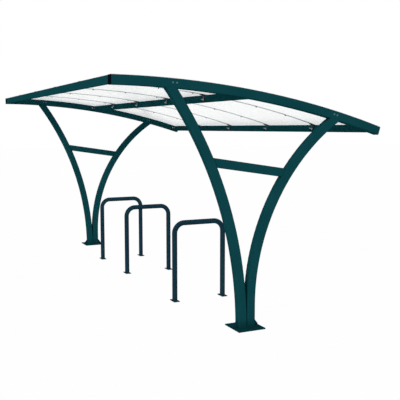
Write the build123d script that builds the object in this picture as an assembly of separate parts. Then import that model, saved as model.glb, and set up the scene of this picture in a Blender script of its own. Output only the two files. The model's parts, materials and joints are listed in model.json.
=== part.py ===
from build123d import *
from math import asin, atan2, cos, degrees, hypot, radians, sin, sqrt
import os

# Open bike shelter: two bent tube masts shaped like a Y carry a curved clear roof over a row of hoops.
# All sizes are in millimetres. X runs from the high edge of the roof to the low edge, Y runs along
# the row of bikes, Z is up. Left and right are as seen from the low edge, so left is towards -Y.

# Roof line, on the mast's own centre line as X = 0
bay_pitch = 1085.0
bay_count = 5
high_reach = 1386.0
low_reach = 1617.0
crest_height = 2471.0
roof_bend_radius = 10000.0

# Rafters: bent square tube, level at the high edge
rafter_size = 90.0
rafter_wall = 4.0
cap_thickness = 4.0
cap_plug_depth = 25.0
cap_plug_clearance = 0.3

# Mast legs: bent square tube, side by side on the base plate
leg_size = 88.0
leg_wall = 4.0
leg_gap = 6.0
high_leg_bend_radius = 4060.0
low_leg_bend_radius = 2230.0
low_leg_straight = 236.0

# Tie bar between the two legs of a mast
tie_depth = 90.0
tie_width = 60.0
tie_wall = 4.0
tie_height = 1613.0
tie_slope = 8.5

# Beams along the roof, laid on their narrow side
beam_depth = 80.0
beam_width = 40.0
beam_wall = 3.0
middle_beam_offset = 82.0
low_beam_inset = 62.0

# Roof sheets and the strips that clamp their joints
sheet_thickness = 5.0
sheet_end_margin = 10.0
sheet_side_margin = 12.0
joint_strip_width = 40.0
joint_strip_thickness = 3.0
joint_web = 6.0
sheet_play = 3.0

# Cleats: short angles under the joints, and where the beams meet the rafters
cleat_reach = 50.0
cleat_length = 50.0
cleat_drop = 60.0
cleat_thickness = 5.0

# Base plates with anchor holes, and the gussets that stiffen them
plate_size = 300.0
plate_thickness = 12.0
anchor_spacing = 220.0
anchor_hole = 18.0
gusset_height = 80.0
gusset_thickness = 8.0
gusset_margin = 6.0
gusset_nose = 12.0

# Hoops for the bikes, each on two feet
hoop_height = 940.0
hoop_width = 620.0
hoop_tube = 60.0
hoop_wall = 3.0
hoop_bend_radius = 120.0
hoop_row_offset = 75.0
hoop_places = (1250.0, 2925.0, 4055.0)
foot_length = 130.0
foot_width = 70.0
foot_thickness = 8.0
foot_hole = 12.0
foot_hole_spacing = 96.0

# Places that follow from the sizes
frame_spacing = bay_pitch * bay_count
left_mast = -frame_spacing / 2
right_mast = frame_spacing / 2
roof_radius = roof_bend_radius + rafter_size / 2
roof_centre = (-high_reach, crest_height - roof_radius)
low_end_angle = asin((high_reach + low_reach) / roof_radius)
leg_offset = (leg_gap + leg_size) / 2
high_leg_centre = (-leg_offset - high_leg_bend_radius, 0.0)
low_leg_centre = (leg_offset + low_leg_bend_radius, low_leg_straight)
mast_half = leg_offset + leg_size / 2
low_extent = low_reach + cap_thickness * cos(low_end_angle)
high_extent = high_reach + cap_thickness
to_centre = Location(((high_extent - low_extent) / 2, 0, 0))
across = Vector(0, 1, 0)


def tube_section(width, depth, wall):
    # Hollow rectangle with the rounded corners of rolled tube
    outer = RectangleRounded(width, depth, 2 * wall)
    return outer - RectangleRounded(width - 2 * wall, depth - 2 * wall, wall)


def bar_section(width, depth, wall):
    # The same tube filled in, for cutting its neighbours to fit
    return RectangleRounded(width, depth, 2 * wall)


def turn_plane(centre, angle, y):
    # Section plane of a ring about the Y direction: its own Y axis points out from the ring's centre
    along = Vector(cos(angle), 0, -sin(angle))
    origin = Vector(centre[0], y, centre[1])
    return Plane(origin=origin, x_dir=across, z_dir=along)


def ring_piece(section, centre, radius, start, end, y):
    # Bend a section round a centre, from one angle off the vertical to another
    plane = turn_plane(centre, start, y)
    profile = plane * (Pos(0, radius) * section)
    axis = Axis((centre[0], y, centre[1]), (0, 1, 0))
    return revolve(profile, axis, revolution_arc=degrees(end - start))


def roof_point(angle, radius):
    return (roof_centre[0] + radius * sin(angle), roof_centre[1] + radius * cos(angle))


def circle_meeting(first, first_radius, second, second_radius, side):
    # Where two circles in the plane of a mast cross, on the side that is asked for
    dx = second[0] - first[0]
    dz = second[1] - first[1]
    gap = hypot(dx, dz)
    along = (first_radius**2 - second_radius**2 + gap**2) / (2 * gap)
    off = sqrt(first_radius**2 - along**2)
    x = first[0] + (along * dx - side * off * dz) / gap
    z = first[1] + (along * dz + side * off * dx) / gap
    return x, z


def rafter(y, section):
    return ring_piece(section, roof_centre, roof_bend_radius, 0, low_end_angle, y)


def rafter_cap(y, angle, outwards):
    # Flange over the tube's end with a plug inside it
    plane = turn_plane(roof_centre, angle, y)
    flange = plane * (Pos(0, roof_bend_radius) * bar_section(rafter_size, rafter_size, rafter_wall))
    bore = rafter_size - 2 * rafter_wall - 2 * cap_plug_clearance
    plug = plane * (Pos(0, roof_bend_radius) * RectangleRounded(bore, bore, rafter_wall))
    cap = extrude(flange, outwards * cap_thickness)
    return cap + extrude(plug, -outwards * cap_plug_depth)


def above_plate(piece):
    return split(piece, Plane.XY.offset(plate_thickness), keep=Keep.TOP)


def high_leg(y, section):
    head = circle_meeting(high_leg_centre, high_leg_bend_radius, roof_centre, roof_bend_radius, 1)
    quarter = radians(90)
    rise = atan2(head[1] - high_leg_centre[1], head[0] - high_leg_centre[0])
    bent = ring_piece(section, high_leg_centre, high_leg_bend_radius, quarter - rise, quarter, y)
    return above_plate(bent)


def low_leg(y, section):
    head = circle_meeting(low_leg_centre, low_leg_bend_radius, roof_centre, roof_bend_radius, -1)
    quarter = radians(90)
    rise = atan2(head[1] - low_leg_centre[1], low_leg_centre[0] - head[0])
    bent = ring_piece(section, low_leg_centre, low_leg_bend_radius, -quarter, rise - quarter, y)
    foot = Plane.XY.offset(plate_thickness) * (Pos(leg_offset, y) * section)
    return extrude(foot, low_leg_straight - plate_thickness) + bent


def tie_bar(y):
    # Tube that slopes with the roof, cut to fit against both legs
    slope = radians(tie_slope)
    reach = (high_reach + low_reach) / 2
    along = Vector(cos(slope), 0, -sin(slope))
    plane = Plane(origin=Vector(0, y, tie_height), x_dir=across, z_dir=along)
    bar = extrude(plane * tube_section(tie_width, tie_depth, tie_wall), reach, both=True)
    solid_leg = bar_section(leg_size, leg_size, leg_wall)
    pieces = bar - high_leg(y, solid_leg) - low_leg(y, solid_leg)
    return pieces.solids().sort_by_distance((0, y, tie_height))[0]


def base_plate(y):
    plate = Pos(0, y, plate_thickness / 2) * Box(plate_size, plate_size, plate_thickness)
    holes = GridLocations(anchor_spacing, anchor_spacing, 2, 2)
    for place in holes:
        plate -= Pos(0, y, plate_thickness / 2) * place * Cylinder(anchor_hole / 2, plate_thickness)
    return plate


def gusset(y, side):
    # Triangle plate with a blunt nose, between the base plate and the outer side of a leg
    foot = side * (plate_size / 2 - gusset_margin)
    root = side * (mast_half - leg_size / 2)
    shoulder = side * mast_half
    outline = Polyline(
        (root, plate_thickness),
        (foot, plate_thickness),
        (foot, plate_thickness + gusset_nose),
        (shoulder, plate_thickness + gusset_height),
        (root, plate_thickness + gusset_height),
        close=True,
    )
    blank = extrude(Plane.XZ.offset(-y) * make_face(outline), gusset_thickness / 2, both=True)
    solid_leg = bar_section(leg_size, leg_size, leg_wall)
    leg = high_leg(y, solid_leg) if side < 0 else low_leg(y, solid_leg)
    return (blank - leg).solids().sort_by_distance((foot, y, plate_thickness))[0]


def beam_axis(angle):
    # Middle of a beam whose flat top lies just under the sheets
    flat = beam_width / 2 - 2 * beam_wall
    top = sqrt(roof_radius**2 - flat**2)
    return roof_point(angle, top - beam_depth / 2)


def roof_beam(angle):
    # Straight tube between the rafters
    x, z = beam_axis(angle)
    along = Vector(cos(angle), 0, -sin(angle))
    plane = Plane(origin=Vector(x, 0, z), x_dir=along, z_dir=across)
    length = frame_spacing - rafter_size
    return extrude(plane * tube_section(beam_width, beam_depth, beam_wall), length / 2, both=True)


def angle_section(reach, drop, thickness):
    # L profile with its outer corner at the origin, one leg along X and one along Y
    outline = Polyline(
        (0, 0),
        (reach, 0),
        (reach, thickness),
        (thickness, thickness),
        (thickness, drop),
        (0, drop),
        close=True,
    )
    blank = make_face(outline)
    root = blank.vertices().sort_by_distance((thickness, thickness))[0]
    return fillet(root, thickness)


def joint_cleat(angle, side, y):
    # One leg under the sheets below a joint, the other against the beam's side
    seat = sqrt(roof_radius**2 - (beam_width / 2 + cleat_reach) ** 2)
    x, z = roof_point(angle, seat)
    along = Vector(cos(angle), 0, -sin(angle))
    plane = Plane(origin=Vector(x, y, z), x_dir=along * side, z_dir=across * side)
    section = Pos(beam_width / 2, 0) * angle_section(cleat_reach, cleat_drop, cleat_thickness)
    return extrude(plane * section, cleat_length / 2, both=True)


def end_cleat(angle, side, end):
    # One leg against a rafter's inner side, the other against the beam's side
    x, z = beam_axis(angle)
    along = Vector(cos(angle), 0, -sin(angle))
    out = Vector(sin(angle), 0, cos(angle))
    rafter_side = end * (frame_spacing - rafter_size) / 2
    plane = Plane(origin=Vector(x, rafter_side, z), x_dir=along * side, z_dir=out * -side * end)
    section = Pos(beam_width / 2, 0) * angle_section(cleat_reach, cleat_length, cleat_thickness)
    return extrude(plane * section, cleat_drop / 2, both=True)


def joint_place(number):
    return left_mast + number * bay_pitch


def roof_sheet(number):
    # One curved pane, with play beside each joint
    side = joint_web / 2 + sheet_play
    rim = rafter_size / 2 - sheet_side_margin
    low_y = joint_place(number - 1) + side if number > 1 else left_mast - rim
    high_y = joint_place(number) - side if number < bay_count else right_mast + rim
    margin = sheet_end_margin / roof_radius
    section = Rectangle(high_y - low_y, sheet_thickness)
    middle = roof_radius + sheet_thickness / 2
    y = (low_y + high_y) / 2
    return ring_piece(section, roof_centre, middle, margin, low_end_angle - margin, y)


def joint_strip(number):
    # T profile: the web stands between two sheets, the flange clamps them from above
    margin = sheet_end_margin / roof_radius
    web = Rectangle(joint_web, sheet_thickness)
    flange_lift = (sheet_thickness + joint_strip_thickness) / 2
    flange = Pos(0, flange_lift) * Rectangle(joint_strip_width, joint_strip_thickness)
    middle = roof_radius + sheet_thickness / 2
    y = joint_place(number)
    return ring_piece(web + flange, roof_centre, middle, margin, low_end_angle - margin, y)


def hoop(y):
    # Round tube bent to an upturned U
    half = hoop_width / 2
    top = hoop_height - hoop_tube / 2
    path = FilletPolyline(
        (hoop_row_offset - half, y, foot_thickness),
        (hoop_row_offset - half, y, top),
        (hoop_row_offset + half, y, top),
        (hoop_row_offset + half, y, foot_thickness),
        radius=hoop_bend_radius,
    )
    ring = Circle(hoop_tube / 2) - Circle(hoop_tube / 2 - hoop_wall)
    start = Plane(origin=path @ 0, z_dir=path % 0)
    return sweep(start * ring, path)


def hoop_foot(y, side):
    x = hoop_row_offset + side * hoop_width / 2
    foot = Pos(x, y, foot_thickness / 2) * Box(foot_width, foot_length, foot_thickness)
    for end in (-1, 1):
        place = Pos(x, y + end * foot_hole_spacing / 2, foot_thickness / 2)
        foot -= place * Cylinder(foot_hole / 2, foot_thickness)
    return foot


pieces = {}
for side_name, mast in (("left", left_mast), ("right", right_mast)):
    rafter_tube = tube_section(rafter_size, rafter_size, rafter_wall)
    rafter_bar = rafter(mast, bar_section(rafter_size, rafter_size, rafter_wall))
    leg_tube = tube_section(leg_size, leg_size, leg_wall)
    pieces[f"{side_name}_base_plate"] = base_plate(mast)
    pieces[f"{side_name}_high_gusset"] = gusset(mast, -1)
    pieces[f"{side_name}_low_gusset"] = gusset(mast, 1)
    pieces[f"{side_name}_high_leg"] = high_leg(mast, leg_tube) - rafter_bar
    pieces[f"{side_name}_low_leg"] = low_leg(mast, leg_tube) - rafter_bar
    pieces[f"{side_name}_tie_bar"] = tie_bar(mast)
    pieces[f"{side_name}_rafter"] = rafter(mast, rafter_tube)
    pieces[f"{side_name}_high_cap"] = rafter_cap(mast, 0, -1)
    pieces[f"{side_name}_low_cap"] = rafter_cap(mast, low_end_angle, 1)

high_angle = beam_width / 2 / roof_radius
middle_angle = asin((high_reach + middle_beam_offset) / roof_radius)
low_angle = low_end_angle - low_beam_inset / roof_radius
for beam_name, angle, side in (("high", high_angle, 1), ("middle", middle_angle, -1), ("low", low_angle, -1)):
    joint_cleats = [joint_cleat(angle, side, joint_place(number)) for number in range(1, bay_count)]
    end_cleats = [end_cleat(angle, side, end) for end in (-1, 1)]
    pieces[f"{beam_name}_beam"] = roof_beam(angle)
    pieces[f"{beam_name}_joint_cleats"] = Compound(joint_cleats)
    pieces[f"{beam_name}_end_cleats"] = Compound(end_cleats)

for number in range(1, bay_count + 1):
    pieces[f"roof_sheet_{number}"] = roof_sheet(number)
for number in range(1, bay_count):
    pieces[f"joint_strip_{number}"] = joint_strip(number)

for number, place in enumerate(hoop_places, start=1):
    hoop_y = left_mast + place
    pieces[f"hoop_{number}"] = hoop(hoop_y)
    pieces[f"hoop_{number}_high_foot"] = hoop_foot(hoop_y, -1)
    pieces[f"hoop_{number}_low_foot"] = hoop_foot(hoop_y, 1)

os.makedirs("parts", exist_ok=True)
for name, piece in pieces.items():
    export_step(to_centre * piece, f"parts/{name}.step")
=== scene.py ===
import json
import math

import bmesh
import bpy
from mathutils import Matrix, Vector


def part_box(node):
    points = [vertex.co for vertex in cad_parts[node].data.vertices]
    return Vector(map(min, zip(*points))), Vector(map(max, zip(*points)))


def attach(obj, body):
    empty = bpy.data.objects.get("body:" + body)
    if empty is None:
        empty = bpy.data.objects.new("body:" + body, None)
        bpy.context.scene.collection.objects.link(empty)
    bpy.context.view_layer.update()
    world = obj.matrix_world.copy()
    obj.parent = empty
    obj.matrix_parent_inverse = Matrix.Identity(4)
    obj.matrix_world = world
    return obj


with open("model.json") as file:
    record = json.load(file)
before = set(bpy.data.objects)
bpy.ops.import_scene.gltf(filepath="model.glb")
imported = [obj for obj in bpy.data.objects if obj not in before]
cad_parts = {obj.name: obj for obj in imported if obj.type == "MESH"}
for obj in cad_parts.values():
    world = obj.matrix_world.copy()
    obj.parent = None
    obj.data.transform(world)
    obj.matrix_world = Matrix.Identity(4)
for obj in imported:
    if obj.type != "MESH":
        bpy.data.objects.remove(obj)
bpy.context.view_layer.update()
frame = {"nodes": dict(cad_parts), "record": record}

# Bike shelter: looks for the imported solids, in metres. X runs down the roof's slope, Y along the row, Z up.
nodes = frame["nodes"]

# Sizes of the solids that the small parts sit on; the roof's radius is that of the sheets' underside
ROOF_RADIUS = 10.045
RAFTER = 0.09
SHEET = 0.005
BEAM_WIDTH = 0.04
BEAM_DEPTH = 0.08
CLEAT = 0.005

# Hexagon heads and nuts: size across the flats, height, radius of the washer
CLEAT_NUT = (0.015, 0.008, 0.0115)
BEAM_HEAD = (0.015, 0.0065, 0.0115)
RAFTER_HEAD = (0.015, 0.008, 0.0115)
END_CLEAT_HEAD = (0.013, 0.007, 0.01)
STRIP_NUT = (0.013, 0.006, 0.009)
WASHER_HEIGHT = 0.002

# Domed heads and flush screws: radius, height
LEG_HEAD = (0.0105, 0.006)
STRIP_SCREW = (0.008, 0.0022)

# Side of each beam that its cleats are on, 1 down the slope and -1 up it, and the thread past each nut
CLEAT_SIDE = {"high": 1, "middle": -1, "low": -1}
THREAD_LENGTH = {"high": 0.006, "middle": 0.012, "low": 0.026}
THREAD_RADIUS = 0.0048

# Bolts' places: below the sheets, out from the beam's side, and in from the end cleat's leg on the rafter
JOINT_BOLT_DROP = 0.052
LEG_BOLT_DROP = 0.040
RAFTER_BOLT_OUT = 0.03
BEAM_BOLT_IN = 0.025

# Places down the roof's curve from its high end, and the screws' seat above the sheets
LEG_HEAD_ARCS = (0.612, 2.452)
LEG_BOLT_STEP = 0.02
FIRST_SCREW_ARC = 0.075
SCREW_SPACING = 0.4125
SCREWS_PER_STRIP = 8
SCREW_SEAT = 0.001

# Painted shade at the masts' feet: its height, how ragged its edge is, and the paint's brightness below it
GROUND_SHADE_HEIGHT = 0.12
GROUND_SHADE_RAGGED = 0.03
GROUND_SHADE_LEVEL = 0.68

# Strength of the floor's own white, and of the surroundings where they light the shelter
FLOOR_WHITE = 0.98
SURROUNDINGS = 0.58

# Most of a noise lies between these two
NOISE_LOW = 0.3
NOISE_HIGH = 0.7

# Points nearer than this are one point
TOUCHING = 1e-6


# Colours and nodes

def srgb(red, green, blue):
    """Colour as it looks on screen, 0 to 255, as the shader wants it."""
    parts = []
    for level in (red, green, blue):
        c = level / 255
        parts.append(c / 12.92 if c <= 0.04045 else ((c + 0.055) / 1.055) ** 2.4)
    return (*parts, 1.0)


def fresh_tree(owner):
    """Empty node tree of a material or of the world."""
    owner.use_nodes = True
    owner.node_tree.nodes.clear()
    return owner.node_tree


def new_material(name):
    material = bpy.data.materials.new(name)
    tree = fresh_tree(material)
    shader = tree.nodes.new("ShaderNodeBsdfPrincipled")
    output = tree.nodes.new("ShaderNodeOutputMaterial")
    tree.links.new(shader.outputs["BSDF"], output.inputs["Surface"])
    return material, tree, shader


def own_place(tree):
    """The object's own coordinates."""
    return tree.nodes.new("ShaderNodeTexCoord").outputs["Object"]


def maths(tree, operation, *values):
    """Math node whose inputs are other nodes' outputs or plain numbers."""
    node = tree.nodes.new("ShaderNodeMath")
    node.operation = operation
    for socket, value in zip(node.inputs, values):
        if isinstance(value, bpy.types.NodeSocket):
            tree.links.new(value, socket)
        else:
            socket.default_value = value
    return node.outputs["Value"]


def noise(tree, scale, detail=3.0, rough=0.5, stretch=(1, 1, 1)):
    """Noise on the object's own coordinates; scale counts the waves in a metre."""
    mapping = tree.nodes.new("ShaderNodeMapping")
    mapping.inputs["Scale"].default_value = stretch
    texture = tree.nodes.new("ShaderNodeTexNoise")
    texture.inputs["Scale"].default_value = scale
    texture.inputs["Detail"].default_value = detail
    texture.inputs["Roughness"].default_value = rough
    tree.links.new(own_place(tree), mapping.inputs["Vector"])
    tree.links.new(mapping.outputs["Vector"], texture.inputs["Vector"])
    return texture.outputs["Fac"]


def ramp(tree, value, low, high):
    """Noise turned into a colour between two colours."""
    node = tree.nodes.new("ShaderNodeValToRGB")
    node.color_ramp.elements[0].position = NOISE_LOW
    node.color_ramp.elements[0].color = low
    node.color_ramp.elements[1].position = NOISE_HIGH
    node.color_ramp.elements[1].color = high
    tree.links.new(value, node.inputs["Fac"])
    return node.outputs["Color"]


def spread(tree, value, low, high, start=NOISE_LOW, end=NOISE_HIGH):
    """Value stretched from one range of numbers, a noise's unless given, to another."""
    node = tree.nodes.new("ShaderNodeMapRange")
    node.inputs["From Min"].default_value = start
    node.inputs["From Max"].default_value = end
    node.inputs["To Min"].default_value = low
    node.inputs["To Max"].default_value = high
    tree.links.new(value, node.inputs["Value"])
    return node.outputs["Result"]


def bump(tree, shader, height, distance, strength):
    node = tree.nodes.new("ShaderNodeBump")
    node.inputs["Distance"].default_value = distance
    node.inputs["Strength"].default_value = strength
    tree.links.new(height, node.inputs["Height"])
    tree.links.new(node.outputs["Normal"], shader.inputs["Normal"])


def ground_shaded(tree, colour):
    """Colour darkened towards the ground behind a ragged edge: painted shade at the foot of the masts."""
    axes = tree.nodes.new("ShaderNodeSeparateXYZ")
    tree.links.new(own_place(tree), axes.inputs["Vector"])
    edge = maths(tree, "MULTIPLY_ADD", noise(tree, 14.0, detail=4.0), GROUND_SHADE_RAGGED, axes.outputs["Z"])
    shade = spread(tree, edge, GROUND_SHADE_LEVEL, 1.0, start=GROUND_SHADE_RAGGED / 2, end=GROUND_SHADE_HEIGHT)
    painted_shade = tree.nodes.new("ShaderNodeVectorMath")
    painted_shade.operation = "SCALE"
    tree.links.new(colour, painted_shade.inputs[0])
    tree.links.new(shade, painted_shade.inputs["Scale"])
    return painted_shade.outputs["Vector"]


# Finishes

def powder_coat(name, dark, light, gloss=0.0, with_ground_shade=False):
    """Satin powder coat: an even colour with a slight drift, a fine pebbled skin, and painted shade near the
    ground if asked for.
    """
    material, tree, shader = new_material(name)
    colour = ramp(tree, noise(tree, 2.5, detail=4.0), dark, light)
    # Painted shade, darker towards the ground
    if with_ground_shade:
        colour = ground_shaded(tree, colour)
    tree.links.new(colour, shader.inputs["Base Color"])
    tree.links.new(spread(tree, noise(tree, 18.0), 0.38, 0.5), shader.inputs["Roughness"])
    bump(tree, shader, noise(tree, 420.0, detail=2.0), distance=0.0004, strength=0.2)
    shader.inputs["Specular IOR Level"].default_value = gloss
    return material


def clear_sheet():
    """Clear plastic roof sheet: looks straight through, with a worn skin that mirrors the frame softly."""
    material, tree, shader = new_material("clear_sheet")
    streaks = noise(tree, 9.0, detail=5.0, rough=0.6, stretch=(0.25, 1.0, 1.0))
    colour = ramp(tree, streaks, srgb(251, 254, 254), srgb(255, 255, 255))
    tree.links.new(colour, shader.inputs["Base Color"])
    tree.links.new(spread(tree, streaks, 0.005, 0.015), shader.inputs["Roughness"])
    shader.inputs["Transmission Weight"].default_value = 1.0
    shader.inputs["IOR"].default_value = 1.0
    shader.inputs["Coat Weight"].default_value = 0.5
    shader.inputs["Coat Roughness"].default_value = 0.3
    shader.inputs["Coat IOR"].default_value = 1.5
    return material


def drawn_aluminium():
    """Aluminium bar with fine lines along its length."""
    material, tree, shader = new_material("drawn_aluminium")
    lines = noise(tree, 900.0, stretch=(0.01, 1.0, 1.0))
    colour = ramp(tree, lines, srgb(176, 181, 184), srgb(202, 206, 208))
    tree.links.new(colour, shader.inputs["Base Color"])
    tree.links.new(spread(tree, lines, 0.3, 0.42), shader.inputs["Roughness"])
    bump(tree, shader, lines, distance=0.0001, strength=0.3)
    shader.inputs["Metallic"].default_value = 0.85
    return material


def moulded_plastic():
    """Black plastic cap with a grained skin."""
    material, tree, shader = new_material("moulded_plastic")
    colour = ramp(tree, noise(tree, 30.0), srgb(5, 11, 18), srgb(9, 16, 25))
    tree.links.new(colour, shader.inputs["Base Color"])
    tree.links.new(spread(tree, noise(tree, 60.0), 0.5, 0.62), shader.inputs["Roughness"])
    bump(tree, shader, noise(tree, 1500.0, detail=2.0), distance=0.0003, strength=0.4)
    shader.inputs["Specular IOR Level"].default_value = 0.0
    return material


def zinc():
    """Zinc plated steel, slightly blotched."""
    material, tree, shader = new_material("zinc")
    colour = ramp(tree, noise(tree, 160.0, detail=4.0), srgb(150, 158, 160), srgb(196, 204, 206))
    tree.links.new(colour, shader.inputs["Base Color"])
    tree.links.new(spread(tree, noise(tree, 300.0), 0.28, 0.45), shader.inputs["Roughness"])
    shader.inputs["Metallic"].default_value = 0.8
    return material


# The frame paint carries painted shade near the ground, on the base plates and the masts' feet
frame_paint = powder_coat("frame_paint", srgb(12, 63, 68), srgb(17, 69, 75), with_ground_shade=True)
hoop_paint = powder_coat("hoop_paint", srgb(18, 48, 61), srgb(26, 54, 67))
black_paint = powder_coat("black_paint", srgb(6, 14, 16), srgb(12, 20, 22), gloss=0.2)
# Teal of the bolt heads, lighter than the frame's: partly their own paint, partly a painted highlight
highlighted_bolt_paint = powder_coat("highlighted_bolt_paint", srgb(30, 86, 90), srgb(52, 108, 112), gloss=0.5)
sheet_plastic = clear_sheet()
aluminium = drawn_aluminium()
cap_plastic = moulded_plastic()
bright_zinc = zinc()

FINISHES = {
    "frame_paint": frame_paint,
    "hoop_paint": hoop_paint,
    "strip_paint": aluminium,
    "cleat_black": black_paint,
    "cap_plastic": cap_plastic,
    "clear_sheet": sheet_plastic,
}
for part in frame["record"]["subparts"]:
    solid = nodes[part["node"]]
    solid.data.materials.clear()
    solid.data.materials.append(FINISHES[part["material_slot"]])


# Places on the roof and masts

rafter_low, rafter_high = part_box("left_rafter")
roof_axis = Vector((rafter_low.x, 0, rafter_high.z - ROOF_RADIUS))


def roof_place(angle, y, lift):
    """Frame on the roof, lifted off the sheets' underside: X down the slope, Y along the row, Z outwards."""
    along = Vector((math.cos(angle), 0, -math.sin(angle)))
    out = Vector((math.sin(angle), 0, math.cos(angle)))
    spot = roof_axis + out * (ROOF_RADIUS + lift) + Vector((0, y, 0))
    turn = Matrix((along, Vector((0, 1, 0)), out)).transposed().to_4x4()
    return Matrix.Translation(spot) @ turn


def moved(place, x=0.0, y=0.0, z=0.0):
    """Place shifted along its own axes."""
    return place @ Matrix.Translation((x, y, z))


def turned(place, axis, degrees):
    """Place turned about one of its own axes."""
    return place @ Matrix.Rotation(math.radians(degrees), 4, axis)


def beam_angle(node):
    """Angle on the roof's curve at a beam's middle."""
    low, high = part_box(node)
    middle = (low + high) / 2 - roof_axis
    return math.atan2(middle.x, middle.z)


def middle_y(node):
    low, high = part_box(node)
    return (low.y + high.y) / 2


# New pieces

def add_piece(name, shape, material):
    """Finished mesh as a piece that rides with the shelter."""
    bmesh.ops.remove_doubles(shape, verts=shape.verts, dist=TOUCHING)
    bmesh.ops.recalc_face_normals(shape, faces=shape.faces)
    mesh = bpy.data.meshes.new(name)
    shape.to_mesh(mesh)
    shape.free()
    mesh.materials.append(material)
    piece = bpy.data.objects.new(name, mesh)
    bpy.context.scene.collection.objects.link(piece)
    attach(piece, "root")


def disc(shape, place, radius, height, sides, bevel):
    """Round or many-sided disc on a place's XY plane, its upper rim bevelled."""
    made = bmesh.ops.create_cone(shape, cap_ends=True, segments=sides, radius1=radius, radius2=radius,
                                 depth=height, matrix=moved(place, z=height / 2))
    normal = (place.to_3x3() @ Vector((0, 0, 1))).normalized()
    top = place.translation + normal * height
    rim = [e for e in {e for v in made["verts"] for e in v.link_edges}
           if all(abs((v.co - top).dot(normal)) < TOUCHING for v in e.verts)]
    bmesh.ops.bevel(shape, geom=rim, offset=bevel, segments=2, profile=0.5, affect="EDGES", material=-1)


def hex_head(shape, place, across, height, washer):
    """Hexagon head or nut on a washer."""
    disc(shape, place, washer, WASHER_HEIGHT, sides=24, bevel=0.0005)
    disc(shape, moved(place, z=WASHER_HEIGHT), across / math.sqrt(3), height, sides=6, bevel=across * 0.06)


def dome_head(shape, place, radius, height):
    """Low domed bolt head, closed on the face that it sits on."""
    dome = bmesh.ops.create_uvsphere(shape, u_segments=20, v_segments=10, radius=radius)
    squash = Matrix.Diagonal((1, 1, height / radius, 1))
    bmesh.ops.transform(shape, matrix=place @ squash, verts=dome["verts"])
    geometry = list({f for v in dome["verts"] for f in v.link_faces})
    geometry += list({e for v in dome["verts"] for e in v.link_edges}) + dome["verts"]
    normal = place.to_3x3() @ Vector((0, 0, 1))
    cut = bmesh.ops.bisect_plane(shape, geom=geometry, plane_co=place.translation, plane_no=normal,
                                 clear_inner=True)
    edges = [e for e in cut["geom_cut"] if isinstance(e, bmesh.types.BMEdge)]
    bmesh.ops.contextual_create(shape, geom=edges)


# Bolts of the joint cleats: nut and thread on the cleat, and a head on the far side of all but the high beam
joints = [middle_y(f"joint_strip_{n}") for n in range(1, 5)]
beam_bolts = bmesh.new()
for level, side in CLEAT_SIDE.items():
    angle = beam_angle(f"{level}_beam")
    for y in joints:
        centre = roof_place(angle, y, -JOINT_BOLT_DROP)
        face = turned(moved(centre, x=side * (BEAM_WIDTH / 2 + CLEAT)), "Y", 90 * side)
        hex_head(beam_bolts, face, *CLEAT_NUT)
        nut_top = moved(face, z=WASHER_HEIGHT + CLEAT_NUT[1])
        disc(beam_bolts, nut_top, THREAD_RADIUS, THREAD_LENGTH[level], sides=16, bevel=0.001)
        if level != "high":
            back = turned(moved(centre, x=-side * BEAM_WIDTH / 2), "Y", -90 * side)
            hex_head(beam_bolts, back, *BEAM_HEAD)
add_piece("beam_bolts", beam_bolts, bright_zinc)

# Bolts of the end cleats: one into the rafter, one into the beam's side
end_bolts = bmesh.new()
for level, side in CLEAT_SIDE.items():
    angle = beam_angle(f"{level}_beam")
    for end, mast in ((-1, "left_rafter"), (1, "right_rafter")):
        inner = middle_y(mast) - end * (RAFTER / 2 + CLEAT)
        centre = roof_place(angle, inner, -BEAM_DEPTH / 2)
        into_rafter = moved(centre, x=side * (BEAM_WIDTH / 2 + RAFTER_BOLT_OUT))
        hex_head(end_bolts, turned(into_rafter, "X", 90 * end), *RAFTER_HEAD)
        into_beam = moved(centre, x=side * (BEAM_WIDTH / 2 + CLEAT), y=-end * BEAM_BOLT_IN)
        hex_head(end_bolts, turned(into_beam, "Y", 90 * side), *END_CLEAT_HEAD)
add_piece("end_cleat_bolts", end_bolts, bright_zinc)

# Pair of bolts over each leg's head, on both sides of the rafters
leg_bolts = bmesh.new()
for mast in ("left_rafter", "right_rafter"):
    for arc in LEG_HEAD_ARCS:
        for step in (-LEG_BOLT_STEP, LEG_BOLT_STEP):
            centre = roof_place((arc + step) / ROOF_RADIUS, middle_y(mast), -LEG_BOLT_DROP)
            for face in (-1, 1):
                seat = moved(centre, y=face * RAFTER / 2)
                dome_head(leg_bolts, turned(seat, "X", -90 * face), *LEG_HEAD)
add_piece("leg_bolts", leg_bolts, highlighted_bolt_paint)

# Flush screws down each joint strip, with a dark nut under the sheets
strip_screws = bmesh.new()
strip_nuts = bmesh.new()
for y in joints:
    for count in range(SCREWS_PER_STRIP):
        angle = (FIRST_SCREW_ARC + SCREW_SPACING * count) / ROOF_RADIUS
        disc(strip_screws, roof_place(angle, y, SHEET + SCREW_SEAT), *STRIP_SCREW, sides=20, bevel=0.0002)
        hex_head(strip_nuts, turned(roof_place(angle, y, 0), "X", 180), *STRIP_NUT)
add_piece("strip_screws", strip_screws, bright_zinc)
add_piece("strip_nuts", strip_nuts, black_paint)


# Floor, light and camera

def seen_rays(tree, rays):
    """1 for rays that show what they meet: the camera's own, off a gloss or through a sheet; 0 for others."""
    first = maths(tree, "MAXIMUM", rays["Is Camera Ray"], rays["Is Glossy Ray"])
    return maths(tree, "MAXIMUM", first, rays["Is Transmission Ray"])


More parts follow.
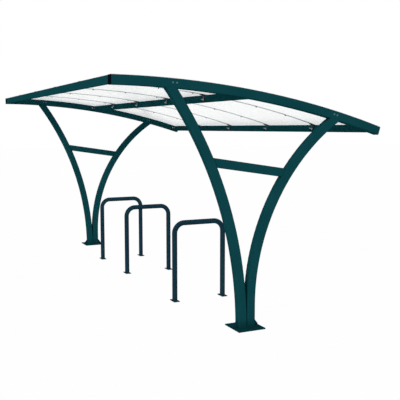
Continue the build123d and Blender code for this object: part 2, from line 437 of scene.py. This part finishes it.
def pale_floor():
    """Floor that looks near white with a faint shadow, and throws light back as plain grey."""
    material = bpy.data.materials.new("pale_floor")
    tree = fresh_tree(material)
    rays = tree.nodes.new("ShaderNodeLightPath").outputs
    matte = tree.nodes.new("ShaderNodeBsdfDiffuse")
    matte.inputs["Color"].default_value = (0.7, 0.7, 0.7, 1)
    lit = tree.nodes.new("ShaderNodeEmission")
    blend = tree.nodes.new("ShaderNodeMixShader")
    output = tree.nodes.new("ShaderNodeOutputMaterial")
    tree.links.new(maths(tree, "MULTIPLY", seen_rays(tree, rays), FLOOR_WHITE), blend.inputs["Fac"])
    tree.links.new(matte.outputs["BSDF"], blend.inputs[1])
    tree.links.new(lit.outputs["Emission"], blend.inputs[2])
    tree.links.new(blend.outputs["Shader"], output.inputs["Surface"])
    return material


def studio():
    """Surroundings that look white, and light the shelter less than that."""
    world = bpy.data.worlds.new("studio")
    tree = fresh_tree(world)
    rays = tree.nodes.new("ShaderNodeLightPath").outputs
    sky = tree.nodes.new("ShaderNodeBackground")
    sky.inputs["Color"].default_value = (1, 1, 1, 1)
    output = tree.nodes.new("ShaderNodeOutputWorld")
    before_matte = maths(tree, "LESS_THAN", rays["Diffuse Depth"], 0.5)
    seen = maths(tree, "MULTIPLY", seen_rays(tree, rays), before_matte)
    tree.links.new(spread(tree, seen, SURROUNDINGS, 1.0, start=0.0, end=1.0), sky.inputs["Strength"])
    tree.links.new(sky.outputs["Background"], output.inputs["Surface"])
    return world


def lamp(name, strength, softness, towards):
    """Distant soft lamp that shines along a direction; softness is its width in degrees."""
    data = bpy.data.lights.new(name, "SUN")
    data.energy = strength
    data.angle = math.radians(softness)
    light = bpy.data.objects.new(name, data)
    light.visible_transmission = False
    light.rotation_euler = Vector(towards).to_track_quat("-Z", "Y").to_euler()
    bpy.context.scene.collection.objects.link(light)


floor_shape = bmesh.new()
bmesh.ops.create_grid(floor_shape, x_segments=1, y_segments=1, size=60)
floor_mesh = bpy.data.meshes.new("floor")
floor_shape.to_mesh(floor_mesh)
floor_shape.free()
floor_mesh.materials.append(pale_floor())
floor = bpy.data.objects.new("floor", floor_mesh)
# Half a millimetre below the base plates, so that no two faces share a plane
floor.location = (0, 0, -0.0005)
bpy.context.scene.collection.objects.link(floor)

bpy.context.scene.world = studio()
lamp("key", 1.6, 22, (0.88, 0.64, -0.45))
lamp("fill", 0.35, 40, (-0.6, 0.6, -0.3))

# Camera as fitted to the photograph: 2 m up, 6 degrees down, 25 degrees round from straight along the row
camera_data = bpy.data.cameras.new("camera")
camera_data.sensor_width = 36
camera_data.lens = 60.5
camera_data.clip_end = 200
camera = bpy.data.objects.new("camera", camera_data)
camera.location = (-3.3548, -8.4955, 2.0)
camera.rotation_euler = (math.radians(90 - 6.13), 0, math.radians(-25.32))
bpy.context.scene.collection.objects.link(camera)
bpy.context.scene.camera = camera
bpy.context.scene.view_settings.view_transform = "Standard"
